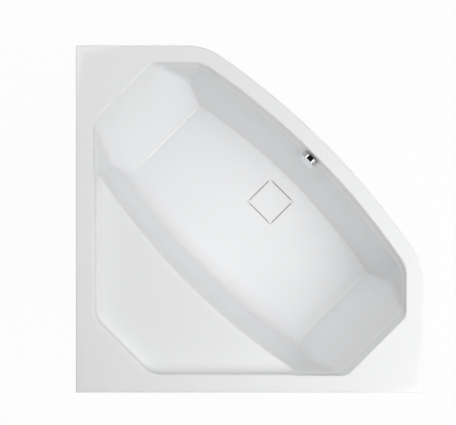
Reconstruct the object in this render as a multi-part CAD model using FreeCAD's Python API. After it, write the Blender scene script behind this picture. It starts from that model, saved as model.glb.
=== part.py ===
import FreeCAD, Part
import math
import os

from FreeCAD import Placement, Rotation, Vector

os.makedirs("parts", exist_ok=True)

# A corner bathtub: a thermoformed acrylic shell on a steel and timber support, with a covered
# pop-up waste that a knob on the overflow works by cable.
#
# Plan frame, millimetres: the room corner is the origin, +y runs along the line of symmetry to the
# middle of the curved front, +x runs along the basin, and z is up from the floor. The two walls
# leave the room corner at 45 degrees to +y. The finished pieces are turned and moved at the end, so
# that the walls lie along the row's axes and the origin is under the middle of the walls' square.

# ------------------------------------------------------------------------------ rim and outline
wall_side = 1400.0
rim_width_wall = 72.0
rim_width_front = 66.0
front_reach = 1422.0
front_radius = 3040.0
front_corner_radius = 250.0
lip_height = 40.0
lip_edge_radius = 5.0
rim_roll_radius = 8.0
acrylic = 5.0
fibre = 4.0

# ------------------------------------------------------------------------------ basin and seat
basin_depth = 450.0
basin_half_length = 721.0
floor_half_length = 543.0
floor_front_reach = 1252.0
floor_back_start = 690.0
back_wall_start = 626.0
back_wall_radius = 2860.0
side_draft = math.radians(4.0)
seat_depth = 50.0
seat_start = 262.0
seat_corner_radius = 100.0
basin_edge_radius = 14.0
front_valley_radius = 30.0
floor_edge_radius = 8.0

# ------------------------------------------------------------------------------ drain recess and cover
drain_front_inset = 137.0
recess_side = 149.0
recess_depth = 28.0
recess_corner_radius = 8.0
waste_hole_radius = 26.0
loose_play = 0.3
cover_thickness = 5.0
cover_play = 0.4
cover_gap = 4.0
cover_gap_length = 122.0
cover_leg_radius = 5.0
cover_leg_inset = 20.0
cover_pad_height = 2.5

# ------------------------------------------------------------------------------ boards and battens
base_board_thickness = 16.0
base_board_inset = 22.0
board_hole_play = 2.0
seat_board_thickness = 12.0
seat_board_inset = 30.0
seat_board_setback = 66.0
seat_screw_bite = 8.0
batten_width = 38.0
front_batten_width = 24.0
front_batten_end_gap = 27.8
front_batten_overflow_gap = 18.0
batten_end_gap = 3.0
return_batten_end_gap = 40.5

# ------------------------------------------------------------------------------ steel support
rail_width = 40.0
rail_height = 25.0
rail_wall = 2.0
cradle_x = 400.0
cradle_back_reach = 115.0
cradle_front_reach = 83.0
corner_rail_overhang = 72.0
corner_rail_reach = 170.0
rail_cap_thickness = 3.0
post_width = 30.0
post_wall = 2.0
post_back_inset = 128.0
post_plate_side = 70.0
post_plate_thickness = 3.0
screw_radius = 2.5
screw_head_radius = 5.0
screw_head_height = 3.0
screw_bite = 11.0
screw_play = 0.3
rail_screw_inset = 80.0
post_screw_offset = 25.0

# ------------------------------------------------------------------------------ levelling feet
stud_radius = 6.0
stud_fit = 0.05
stud_hole_play = 0.5
stud_chamfer = 1.0
nut_across_flats = 19.0
nut_height = 10.0
pad_radius = 24.0
pad_height = 14.0
pad_sole_height = 5.0
pad_neck_radius = 11.0
pad_socket_depth = 7.0
foot_end_inset = 25.0
foot_travel = 25.0

# ------------------------------------------------------------------------------ wall brackets
bracket_width = 40.0
bracket_thickness = 2.0
bracket_drop = 45.0
bracket_hole_radius = 3.0
bracket_hole_drop = 25.0
bracket_inset = 350.0
bracket_screw_offset = 10.0

# ------------------------------------------------------------------------------ waste, plug and lever
seal_thickness = 1.5
gasket_thickness = 3.0
waste_flange_lap = 9.0
waste_flange_thickness = 2.5
waste_throat_play = 0.6
waste_throat_wall = 3.0
waste_throat_length = 24.0
spider_width = 4.0
spider_height = 3.0
stem_radius = 3.0
stem_fit = 0.05
stem_hub_radius = 6.0
stem_hub_height = 8.0
plug_lap = 5.0
plug_thickness = 4.0
plug_edge_radius = 1.5
plug_seal_inset = 2.0
plug_seal_width = 4.0
plug_travel = 10.0
waste_body_lap = 4.0
waste_body_wall = 3.0
waste_body_flange_lap = 11.0
waste_body_flange_thickness = 4.0
waste_body_height = 46.0
waste_neck_radius = 22.0
waste_neck_length = 12.0
waste_inlet_drop = 24.0
waste_inlet_reach = 52.0
lever_arm = 14.0
lever_tip_radius = 3.0
lever_width = 8.0
lever_drop = 25.0
lever_shaft_radius = 2.0
lever_shaft_fit = 0.05
lever_shaft_seat = 1.5
lever_hub_radius = 4.0
lever_tail = 10.0
lever_tail_x = 14.0
lever_tail_width = 4.0
lever_tail_radius = 2.5

# ------------------------------------------------------------------------------ trap
trap_nut_wall = 8.0
trap_nut_height = 12.0
trap_height = 67.0
trap_nut_gap = 1.0
nut_ribs = 16
nut_rib_width = 3.0
nut_rib_depth = 1.5
trap_radius = 42.0
trap_wall = 3.0
trap_floor_gap = 8.0
dip_tube_gap = 9.0
outlet_radius = 20.0
outlet_wall = 3.0
outlet_spigot_length = 30.0
outlet_free_length = 130.0
outlet_tail_play = 0.5
outlet_nut_wall = 7.0
outlet_nut_length = 22.0
outlet_turn = 45.0

# ------------------------------------------------------------------------------ overflow and knob
overflow_drop = 55.0
overflow_hole_radius = 26.0
wall_play = 0.02
overflow_gasket_lap = 6.0
overflow_body_lap = 4.0
overflow_body_depth = 36.0
overflow_body_wall = 3.0
overflow_spigot_length = 22.0
overflow_boss_wall = 2.0
spindle_socket_wall = 3.0
spindle_socket_depth = 6.0
rosette_side_gap = 1.5
rosette_thickness = 3.0
rosette_screw_offset = 17.0
rosette_screw_radius = 2.0
rosette_screw_head_radius = 3.5
rosette_screw_head_height = 2.0
rosette_screw_length = 26.0
rosette_window_radius = 6.5
rosette_window_offset = 18.0
knob_radius = 36.5
knob_length = 21.0
knob_wall = 2.0
knob_face = 3.0
knob_edge_radius = 1.5
knob_play = 3.0
knob_notch_width = 30.0
knob_notch_height = 6.0
knob_hub_wall = 4.0
knob_hub_length = 11.0
spindle_radius = 4.0
spindle_fit = 0.05
drum_wall = 8.0
drum_length = 7.0
drum_front_gap = 8.0
pipe_radius = 16.0
pipe_wall = 2.0
pipe_bend_radius = 60.0
pipe_nut_wall = 3.5
pipe_nut_length = 20.0
pipe_spigot_wall = 2.5

# ------------------------------------------------------------------------------ control cable
cable_radius = 2.5
cable_pipe_gap = 0.5
cable_bend_radius = 90.0
cable_below_pipe = 12.0
cable_wire_radius = 1.2
gland_wall = 2.0
gland_root = 8.0
gland_length = 8.0
ferrule_wall = 1.0
ferrule_length = 8.0
clip_wall = 2.0
clip_width = 8.0
clip_shares = (0.25, 0.55, 0.85)

# ------------------------------------------------------------------------------ margins
cut_margin = 1.0
level_margin = 0.5
skin_edge_minimum = 1.0

# ------------------------------------------------------------------------------ what follows from them
half_span = wall_side / math.sqrt(2)
front_centre_y = front_reach - front_radius
front_corner_sum = 2 * half_span - front_centre_y
front_corner_x = (front_corner_sum - math.sqrt(2 * front_radius ** 2 - front_corner_sum ** 2)) / 2
front_corner_turn = math.pi / 4 - math.asin(front_corner_x / front_radius)
front_corner_reach = front_corner_radius * math.tan(front_corner_turn / 2)
drain_centre_y = floor_front_reach - drain_front_inset
back_centre_y = back_wall_start + back_wall_radius
shell_layers = acrylic + fibre
trap_top = trap_floor_gap + trap_height
waste_neck_bottom = trap_top + trap_nut_gap + trap_nut_height / 2
waste_body_bottom = waste_neck_bottom + waste_neck_length
waste_body_top = waste_body_bottom + waste_body_height
recess_underside = waste_body_top + gasket_thickness
recess_level = recess_underside + shell_layers
floor_level = recess_level + recess_depth
rim_height = floor_level + basin_depth
seat_level = rim_height - seat_depth
cradle_back = floor_back_start - cradle_back_reach
cradle_front = floor_front_reach + cradle_front_reach
corner_rail_back = seat_start - corner_rail_overhang
corner_rail_front = floor_back_start + corner_rail_reach
seat_board_back = seat_start + seat_board_inset
seat_board_front = back_wall_start - seat_board_setback
post_y = seat_board_back + post_back_inset
front_batten_half_length = front_corner_x - front_corner_reach - front_batten_end_gap
return_straight = math.sqrt(2) * (half_span - front_corner_x) - front_corner_reach
return_batten_length = return_straight - acrylic - return_batten_end_gap
bracket_at = (bracket_inset, wall_side - bracket_inset)
board_top = floor_level - shell_layers
rail_top = board_top - base_board_thickness
rail_bottom = rail_top - rail_height
seat_board_top = seat_level - shell_layers
seat_board_bottom = seat_board_top - seat_board_thickness
lip_bottom = rim_height - lip_height
batten_top = rim_height - acrylic
end_slope = (basin_half_length - floor_half_length) / basin_depth
front_slope = (front_reach - rim_width_front - floor_front_reach) / basin_depth
back_slope = (floor_back_start - back_wall_start) / (basin_depth - seat_depth)
wall_tilt = math.atan(front_slope)
floor_front_radius = front_radius - rim_width_front - front_slope * basin_depth
floor_back_radius = back_wall_radius - back_slope * (basin_depth - seat_depth)
captive_nut_bottom = rail_top - rail_wall - nut_height
cradle_foot_back = cradle_back + foot_end_inset
cradle_foot_front = cradle_front - foot_end_inset
corner_foot_y = corner_rail_back + foot_end_inset
cradle_screws = (floor_back_start + rail_screw_inset, floor_front_reach - rail_screw_inset)
corner_screws = (floor_back_start + rail_screw_inset, corner_rail_front - rail_screw_inset / 2)
cover_pad_top = recess_level + loose_play + cover_pad_height
waste_flange_radius = waste_hole_radius + waste_flange_lap
waste_throat_radius = waste_hole_radius - waste_throat_play
waste_body_radius = waste_hole_radius + waste_body_lap
waste_body_flange_radius = waste_hole_radius + waste_body_flange_lap
plug_radius = waste_hole_radius + plug_lap
flange_bottom = recess_level + seal_thickness
flange_top = flange_bottom + waste_flange_thickness
waste_inlet_level = waste_body_top - waste_inlet_drop
lever_angle = math.asin(plug_travel / (2 * lever_arm))
lever_level = waste_body_top - lever_drop
lever_shaft_half = math.sqrt((waste_body_radius - waste_body_wall) ** 2 - lever_arm ** 2) + lever_shaft_seat
trap_collar_top = waste_neck_bottom - seal_thickness
trap_nut_bottom = trap_top + trap_nut_gap
outlet_level = trap_top - outlet_radius - trap_nut_gap
rosette_radius = knob_radius - knob_wall - rosette_side_gap
overflow_body_radius = overflow_hole_radius + overflow_body_lap
wall_sag = rosette_radius ** 2 / (2 * (front_radius - rim_width_front)) + wall_play
gasket_front = -shell_layers - wall_play
overflow_body_front = gasket_front - gasket_thickness
overflow_body_back = overflow_body_front - overflow_body_depth
pipe_depth = (overflow_body_front + overflow_body_back) / 2
rosette_back = wall_sag + seal_thickness
rosette_front = rosette_back + rosette_thickness
knob_front = knob_play + knob_length
overflow_spigot_end = -overflow_body_radius - overflow_spigot_length
front_batten_notch = overflow_body_radius + front_batten_overflow_gap
pipe_nut_radius = pipe_radius + pipe_nut_wall
cable_side = pipe_nut_radius + cable_pipe_gap + ferrule_wall + cable_radius
cable_level = waste_inlet_level - cable_below_pipe
gland_radius = cable_radius + gland_wall
overflow_gland_reach = overflow_body_radius + gland_length
waste_gland_reach = waste_body_radius + gland_length
room_place = Placement(Vector(-wall_side / 2, wall_side / 2, 0), Rotation(Vector(0, 0, 1), 225))
upwards = Vector(0, 0, 1)
along_x = Vector(1, 0, 0)
along_y = Vector(0, 1, 0)


# ------------------------------------------------------------------------------ shared shapes
def face_of(points):
    corners = [Vector(*point) for point in points]
    return Part.Face(Part.makePolygon(corners + corners[:1]))


def prism(outline, low, high):
    return face_of([(x, y, low) for x, y in outline]).extrude(Vector(0, 0, high - low))


def block(x_low, x_high, y_low, y_high, low, high):
    return Part.makeBox(x_high - x_low, y_high - y_low, high - low, Vector(x_low, y_low, low))


def disc(radius, low, high, x=0.0, y=0.0):
    return Part.makeCylinder(radius, high - low, Vector(x, y, low))


def ring(outer, inner, low, high, x=0.0, y=0.0):
    return disc(outer, low, high, x, y).cut(disc(inner, low, high, x, y))


def mirrored(shape):
    return shape.mirror(Vector(0, 0, 0), along_x)


def on_right_wall(shape):
    """A shape drawn with x along the wall and y into the room, put on the right-hand wall."""
    turned = shape.copy()
    turned.rotate(Vector(0, 0, 0), upwards, 45)
    return turned


def hexagon(across_flats, low, high, x, y):
    corner = across_flats / math.sqrt(3)
    turns = [math.radians(60 * step) for step in range(6)]
    return prism([(x + corner * math.cos(turn), y + corner * math.sin(turn)) for turn in turns], low, high)


def screw(x, y, head_low, head_high, tip):
    """A pan-head screw that stands upright, with its head between two levels and its tip at a third."""
    head = disc(screw_head_radius, head_low, head_high, x, y)
    shank = disc(screw_radius, min(tip, head_low), max(tip, head_high), x, y)
    return head.fuse(shank).removeSplitter()


def climbs(edge):
    return abs(edge.Vertexes[0].Z - edge.Vertexes[-1].Z) > 2 * level_margin


def at_level(edge, level):
    return all(abs(vertex.Z - level) < level_margin for vertex in edge.Vertexes)


def middle(edge):
    return edge.valueAt((edge.FirstParameter + edge.LastParameter) / 2)


def rounded(shape, radius, wanted):
    return shape.makeFillet(radius, [edge for edge in shape.Edges if wanted(edge)])


# ------------------------------------------------------------------------------ bath shell
def wall_square(inset):
    """The four corners of the room's square, moved in by one inset from every side."""
    shift = inset * math.sqrt(2)
    side = half_span - shift
    return [(0, shift), (side, half_span), (0, 2 * half_span - shift), (-side, half_span)]


def drafted_square(inset, low, high):
    """The square's four walls, which lean in by the side draft below the rim."""
    corners = []
    for level in (low, high):
        lean = (rim_height - level) * math.tan(side_draft)
        corners.append([Vector(x, y, level) for x, y in wall_square(inset + lean)])
    bottom, top = corners
    faces = [Part.Face(Part.makePolygon(loop + loop[:1])) for loop in corners]
    for here in range(4):
        after = (here + 1) % 4
        side = [bottom[here], bottom[after], top[after], top[here], bottom[here]]
        faces.append(Part.Face(Part.makePolygon(side)))
    return Part.Solid(Part.Shell(faces))


def outline_prism(inset, low, high, corner_radius):
    """The bath's outline, moved in by one inset: the room square, closed by the curved front."""
    square = prism(wall_square(inset), low, high)
    front = disc(front_radius - inset, low, high, 0, front_centre_y)
    body = square.common(front)

    def front_corner(edge):
        return climbs(edge) and middle(edge).y > half_span + cut_margin

    return rounded(body, corner_radius, front_corner)


def end_slopes(grown, low, high):
    """The space between the two sloping ends of the basin."""
    offset = grown * math.sqrt(1 + end_slope ** 2)
    low_half = basin_half_length - end_slope * (rim_height - low) + offset
    high_half = basin_half_length - end_slope * (rim_height - high) + offset
    profile = [(-low_half, 0, low), (low_half, 0, low), (high_half, 0, high), (-high_half, 0, high)]
    return face_of(profile).extrude(Vector(0, 2 * half_span, 0))


def cone_wall(radius_at_level, level, slope, centre_y, grown, low, high):
    """The inside of a curved wall, which widens upwards by its slope."""
    radius = radius_at_level + grown * math.sqrt(1 + slope ** 2)
    low_radius = radius - slope * (level - low)
    high_radius = radius + slope * (high - level)
    return Part.makeCone(low_radius, high_radius, high - low, Vector(0, centre_y, low))


def hollow(grown, high):
    """The space that the bath holds, grown outwards by a thickness and open up to a level."""
    floor = floor_level - grown
    seat = seat_level - grown
    square = drafted_square(rim_width_wall - grown / math.cos(side_draft), floor, high)
    sides = square.common(end_slopes(grown, floor, high))
    front_at_rim = front_radius - rim_width_front
    front = cone_wall(front_at_rim, rim_height, front_slope, front_centre_y, grown, floor, high)
    back = cone_wall(back_wall_radius, seat_level, back_slope, back_centre_y, grown, floor, high)
    basin = sides.common(front).common(back)

    start = seat_start - grown / math.cos(side_draft)
    lean = math.tan(side_draft)
    seat_end = (floor_back_start + floor_front_reach) / 2
    profile = [(-half_span, start + lean * (rim_height - seat), seat), (-half_span, seat_end, seat),
               (-half_span, seat_end, high), (-half_span, start + lean * (rim_height - high), high)]
    seat_space = sides.common(face_of(profile).extrude(Vector(2 * half_span, 0, 0)))
    space = basin.fuse(seat_space).removeSplitter()

    def seat_corner(edge):
        return climbs(edge) and middle(edge).y < (seat_start + back_wall_start) / 2

    def front_valley(edge):
        return climbs(edge) and middle(edge).y > (floor_back_start + floor_front_reach) / 2

    def back_valley(edge):
        return climbs(edge) and not seat_corner(edge) and not front_valley(edge)

    def seat_edge(edge):
        return at_level(edge, seat) and middle(edge).y < floor_back_start - grown

    def seat_roll(edge):
        return at_level(edge, seat) and middle(edge).y > back_wall_start - grown - cut_margin

    space = rounded(space, seat_corner_radius + grown, seat_corner)
    if grown > 0:
        space = rounded(space, max(basin_edge_radius - grown, skin_edge_minimum), seat_roll)
    else:
        space = rounded(space, basin_edge_radius, lambda edge: seat_edge(edge) or back_valley(edge))
    space = rounded(space, front_valley_radius + grown, front_valley)
    space = rounded(space, floor_edge_radius + grown, lambda edge: at_level(edge, floor))
    return space.fuse(recess(grown)).removeSplitter()


def recess(grown):
    """The square pocket in the floor that takes the waste and its cover."""
    half = recess_side / 2 + grown
    low = recess_level - grown
    pocket = block(-half, half, drain_centre_y - half, drain_centre_y + half, low, floor_level + cut_margin)
    return rounded(pocket, recess_corner_radius + grown, climbs)


def overflow_axis_place():
    """The place of the overflow: its own z points out of the wall into the basin, and its y up."""
    wall_y = front_reach - rim_width_front - front_slope * overflow_drop
    turn = Rotation(along_x, Vector(0, math.sin(wall_tilt), math.cos(wall_tilt)),
                    Vector(0, -math.cos(wall_tilt), math.sin(wall_tilt)), "ZXY")
    return Placement(Vector(0, wall_y, rim_height - overflow_drop), turn)


def at_overflow(shape):
    placed = shape.copy()
    placed.Placement = overflow_axis_place().multiply(placed.Placement)
    return placed


def service_holes():
    """The two holes of the shell and its backing: one for the waste and one for the overflow."""
    low = recess_underside - cut_margin
    waste = disc(waste_hole_radius, low, recess_level + cut_margin, 0, drain_centre_y)
    overflow = at_overflow(disc(overflow_hole_radius, -2 * shell_layers, shell_layers))
    return [waste, overflow]


def bath_shell():
    top = outline_prism(0.0, lip_bottom, rim_height, front_corner_radius)
    top = rounded(top, lip_edge_radius, lambda edge: at_level(edge, rim_height))
    under = outline_prism(acrylic, lip_bottom, batten_top, front_corner_radius - acrylic)
    skin = top.cut(under).fuse(hollow(acrylic, batten_top))
    shell = skin.cut(hollow(0.0, rim_height)).removeSplitter()
    for hole in service_holes():
        shell = shell.cut(hole)
    shell = shell.Solids[0]

    def rim_face(face):
        flat = isinstance(face.Surface, Part.Plane)
        return flat and abs(face.CenterOfMass.z - rim_height) < level_margin

    deck = max([face for face in shell.Faces if rim_face(face)], key=lambda face: face.Area)
    inner = [wire for wire in deck.Wires if not wire.isSame(deck.OuterWire)]
    return shell.makeFillet(rim_roll_radius, inner[0].Edges)


def glass_fibre_backing():
    backing = hollow(shell_layers, batten_top).cut(hollow(acrylic, batten_top))
    for hole in service_holes():
        backing = backing.cut(hole)
    return backing.Solids[0]


# ------------------------------------------------------------------------------ boards and battens
def base_board():
    half = floor_half_length - base_board_inset
    board = block(-half, half, 0, 2 * half_span, rail_top, board_top)
    front = disc(floor_front_radius - base_board_inset, rail_top, board_top, 0, front_centre_y)
    back = disc(floor_back_radius - base_board_inset, rail_top, board_top, 0, back_centre_y)
    half_hole = recess_side / 2 + shell_layers + board_hole_play
    hole = block(-half_hole, half_hole, -half_hole, half_hole, rail_top, board_top)
    hole.translate(Vector(0, drain_centre_y, 0))
    board = board.common(front).common(back).cut(hole)
    for x, y in rail_screw_places():
        board = board.cut(disc(screw_radius, rail_top, rail_top + screw_bite, x, y))
    return board.Solids[0]


def seat_board():
    side = (rim_width_wall + seat_board_inset) * math.sqrt(2)
    back_half = seat_board_back - side
    front_half = seat_board_front - side
    outline = [(-back_half, seat_board_back), (back_half, seat_board_back),
               (front_half, seat_board_front), (-front_half, seat_board_front)]
    board = prism(outline, seat_board_bottom, seat_board_top)
    for x, y in post_top_screw_places():
        board = board.cut(disc(screw_radius, seat_board_bottom, seat_board_bottom + seat_screw_bite, x, y))
    return board


def wall_batten():
    start = acrylic + batten_width + batten_end_gap
    batten = block(start, wall_side - start, acrylic, acrylic + batten_width, lip_bottom, batten_top)
    for x in bracket_at:
        for y in bracket_screw_places():
            batten = batten.cut(disc(screw_radius, lip_bottom, lip_bottom + screw_bite, x, y))
    return on_right_wall(batten)


def return_batten():
    outside = wall_side - acrylic
    inside = outside - batten_width
    end = acrylic + return_batten_length
    return on_right_wall(block(inside, outside, acrylic, end, lip_bottom, batten_top))


def front_batten():
    """A bent strip along the inside of the lip, left out at the middle where the overflow stands."""
    outer = front_radius - acrylic
    strip = ring(outer, outer - front_batten_width, lip_bottom, batten_top, 0, front_centre_y)
    stretch = block(front_batten_notch, front_batten_half_length, half_span, 2 * half_span,
                    lip_bottom, batten_top)
    return strip.common(stretch).Solids[0]


# ------------------------------------------------------------------------------ steel support
def channel(x, back, front):
    """A rolled channel along y, open at the bottom."""
    half = rail_width / 2
    outer = block(x - half, x + half, back, front, rail_bottom, rail_top)
    inner = block(x - half + rail_wall, x + half - rail_wall, back, front, rail_bottom, rail_top - rail_wall)
    return outer.cut(inner)


def rail_screw_places():
    cradles = [(side * cradle_x, y) for side in (-1, 1) for y in cradle_screws]
    return cradles + [(0.0, y) for y in corner_screws]


def rail(x, back, front, feet, screws):
    shape = channel(x, back, front)
    web = rail_top - rail_wall
    for y in feet:
        shape = shape.cut(disc(stud_radius + stud_hole_play, web, rail_top, x, y))
    for y in screws:
        shape = shape.cut(disc(screw_radius + screw_play, web, rail_top, x, y))
    return shape


def cradle_rail():
    feet_at = (cradle_foot_back, cradle_foot_front)
    return rail(cradle_x, cradle_back, cradle_front, feet_at, cradle_screws)


def corner_rail():
    post_screws = [y for x, y in post_foot_screw_places()]
    screws = list(corner_screws) + post_screws
    return rail(0.0, corner_rail_back, corner_rail_front, (corner_foot_y,), screws)


def rail_caps():
    """Plastic caps that close the open ends of the three rails."""
    half = rail_width / 2
    cradle_ends = (cradle_back - rail_cap_thickness, cradle_front)
    ends = [(side * cradle_x, y) for side in (-1, 1) for y in cradle_ends]
    ends += [(0.0, corner_rail_back - rail_cap_thickness), (0.0, corner_rail_front)]
    return [block(x - half, x + half, y, y + rail_cap_thickness, rail_bottom, rail_top)
            for x, y in ends]


def rail_screws():
    web = rail_top - rail_wall
    return [screw(x, y, web - screw_head_height, web, rail_top + screw_bite)
            for x, y in rail_screw_places()]


def post_foot_screw_places():
    return [(0.0, post_y - post_screw_offset), (0.0, post_y + post_screw_offset)]


def post_top_screw_places():
    offsets = (-post_screw_offset, post_screw_offset)
    return [(x, post_y + y) for x in offsets for y in offsets]


def seat_post():
    """A square tube with a plate welded to each end, between the corner rail and the seat board."""
    half = post_width / 2
    bore = half - post_wall
    plate = post_plate_side / 2
    plate_top = rail_top + post_plate_thickness
    upper_plate = seat_board_bottom - post_plate_thickness
    post = block(-half, half, post_y - half, post_y + half, rail_top, seat_board_bottom)
    post = post.fuse(block(-plate, plate, post_y - plate, post_y + plate, rail_top, plate_top))
    post = post.fuse(block(-plate, plate, post_y - plate, post_y + plate, upper_plate, seat_board_bottom))
    post = post.cut(block(-bore, bore, post_y - bore, post_y + bore, rail_top, seat_board_bottom))
    for x, y in post_foot_screw_places():
        post = post.cut(disc(screw_radius + screw_play, rail_top, plate_top, x, y))
    for x, y in post_top_screw_places():
        post = post.cut(disc(screw_radius + screw_play, upper_plate, seat_board_bottom, x, y))
    return post.removeSplitter().Solids[0]


def seat_post_screws():
    plate_top = rail_top + post_plate_thickness
    upper_plate = seat_board_bottom - post_plate_thickness
    foot_tip = rail_top - rail_wall - screw_head_height
    top_tip = seat_board_bottom + seat_screw_bite
    lower = [screw(x, y, plate_top, plate_top + screw_head_height, foot_tip)
             for x, y in post_foot_screw_places()]
    upper = [screw(x, y, upper_plate - screw_head_height, upper_plate, top_tip)
             for x, y in post_top_screw_places()]
    return lower + upper


# ------------------------------------------------------------------------------ levelling feet
feet = {
    "front_left": (-cradle_x, cradle_foot_front),
    "front_right": (cradle_x, cradle_foot_front),
    "back_left": (-cradle_x, cradle_foot_back),
    "back_right": (cradle_x, cradle_foot_back),
    "corner": (0.0, corner_foot_y),
}


def captive_nuts():
    """The nuts welded under the rails' webs, which the studs turn in."""
    top = rail_top - rail_wall
    nuts = []
    for x, y in feet.values():
        nut = hexagon(nut_across_flats, captive_nut_bottom, top, x, y)
        nuts.append(nut.cut(disc(stud_radius + stud_fit, captive_nut_bottom, top, x, y)))
    return nuts


def foot_stud(x, y):
    stud = disc(stud_radius, pad_height - pad_socket_depth, rail_top + foot_travel, x, y)
    top = rail_top + foot_travel
    return stud.makeChamfer(stud_chamfer, [edge for edge in stud.Edges if at_level(edge, top)])


def foot_pad(x, y):
    """A moulded foot: a flat sole, a cone up to the neck, and a blind socket for the stud."""
    sole = disc(pad_radius, 0, pad_sole_height, x, y)
    cone_height = pad_height - pad_sole_height
    cone = Part.makeCone(pad_radius, pad_neck_radius, cone_height, Vector(x, y, pad_sole_height))
    socket = disc(stud_radius + stud_fit, pad_height - pad_socket_depth, pad_height, x, y)
    return sole.fuse(cone).removeSplitter().cut(socket)


def foot_lock_nut(x, y):
    top = captive_nut_bottom - loose_play
    nut = hexagon(nut_across_flats, top - nut_height, top, x, y)
    return nut.cut(disc(stud_radius + stud_fit, top - nut_height, top, x, y))


# ------------------------------------------------------------------------------ wall brackets
def bracket_screw_places():
    centre = acrylic + batten_width / 2
    return (centre - bracket_screw_offset, centre + bracket_screw_offset)


def wall_bracket(at):
    """An angle under the batten, with one leg turned down against the wall."""
    low = lip_bottom - bracket_thickness
    foot = lip_bottom - bracket_drop
    half = bracket_width / 2
    angle = block(at - half, at + half, 0, acrylic + batten_width, low, lip_bottom)
    angle = angle.fuse(block(at - half, at + half, 0, bracket_thickness, foot, lip_bottom)).removeSplitter()
    hole_start = Vector(at, -bracket_thickness / 2, lip_bottom - bracket_hole_drop)
    wall_hole = Part.makeCylinder(bracket_hole_radius, 2 * bracket_thickness, hole_start, along_y)
    angle = angle.cut(wall_hole)
    for y in bracket_screw_places():
        angle = angle.cut(disc(screw_radius + screw_play, low, lip_bottom, at, y))
    return on_right_wall(angle)


def wall_brackets():
    right = [wall_bracket(at) for at in bracket_at]
    return right + [mirrored(shape) for shape in right]


def bracket_screws():
    low = lip_bottom - bracket_thickness
    right = [on_right_wall(screw(at, y, low - screw_head_height, low, lip_bottom + screw_bite))
             for at in bracket_at for y in bracket_screw_places()]
    return right + [mirrored(shape) for shape in right]


# ------------------------------------------------------------------------------ drain cover
def drain_cover():
    """The plate over the recess: a notch along each side lets the water in."""
    half = recess_side / 2 - cover_play
    top = floor_level
    bottom = floor_level - cover_thickness
    plate = block(-half, half, -half, half, bottom, top)
    plate = rounded(plate, recess_corner_radius - cover_play, climbs)
    slot_half = cover_gap_length / 2
    slot = block(-slot_half, slot_half, half - cover_gap + cover_play, half + cover_gap, bottom, top)
    for quarter in range(4):
        turned = slot.copy()
        turned.rotate(Vector(0, 0, 0), upwards, 90 * quarter)
        plate = plate.cut(turned)
    for x, y in cover_leg_places():
        plate = plate.fuse(disc(cover_leg_radius, cover_pad_top, bottom, x, y))
    plate = plate.removeSplitter().Solids[0]
    plate.translate(Vector(0, drain_centre_y, 0))
    return plate


def cover_leg_places():
    offset = recess_side / 2 - cover_leg_inset
    return [(x, y) for x in (-offset, offset) for y in (-offset, offset)]


def cover_pads():
    low = recess_level + loose_play
    return [disc(cover_leg_radius, low, cover_pad_top, x, drain_centre_y + y) for x, y in cover_leg_places()]


# ------------------------------------------------------------------------------ waste
def waste_upper_seal():
    return ring(waste_flange_radius, waste_hole_radius, recess_level, flange_bottom, 0, drain_centre_y)


def waste_flange():
    """The strainer: a rim in the recess, a throat through the floor, and a cross for the stem."""
    inner = waste_throat_radius - waste_throat_wall
    flange = disc(waste_flange_radius, flange_bottom, flange_top)
    flange = flange.fuse(disc(waste_throat_radius, flange_bottom - waste_throat_length, flange_bottom))
    flange = flange.cut(disc(inner, flange_bottom - waste_throat_length, flange_top))
    reach = (inner + waste_throat_radius) / 2
    half = spider_width / 2
    low = flange_top - spider_height
    flange = flange.fuse(block(-reach, reach, -half, half, low, flange_top))
    flange = flange.fuse(block(-half, half, -reach, reach, low, flange_top))
    flange = flange.fuse(disc(stem_hub_radius, flange_top - stem_hub_height, flange_top))
    flange = flange.cut(disc(stem_radius + stem_fit, flange_top - stem_hub_height, flange_top))
    flange = flange.removeSplitter().Solids[0]
    flange.translate(Vector(0, drain_centre_y, 0))
    return flange


def waste_lower_gasket():
    return ring(waste_body_flange_radius, waste_hole_radius, waste_body_top, recess_underside,
                0, drain_centre_y)


def lever_tip():
    """The centre of the lever's tip at rest, seen from the drain's centre line."""
    return lever_arm - lever_arm * math.cos(lever_angle), lever_level - lever_arm * math.sin(lever_angle)


def drain_plug():
    bottom = flange_top + loose_play + seal_thickness
    disc_top = bottom + plug_thickness
    tip_y, tip_z = lever_tip()
    head = disc(plug_radius, bottom, disc_top, 0, drain_centre_y)
    head = rounded(head, plug_edge_radius, lambda edge: at_level(edge, disc_top))
    stem = disc(stem_radius, tip_z + lever_tip_radius + loose_play, bottom, 0, drain_centre_y)
    return head.fuse(stem).removeSplitter()


def plug_seal():
    low = flange_top + loose_play
    outer = plug_radius - plug_seal_inset
    return ring(outer, outer - plug_seal_width, low, low + seal_thickness, 0, drain_centre_y)


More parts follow.
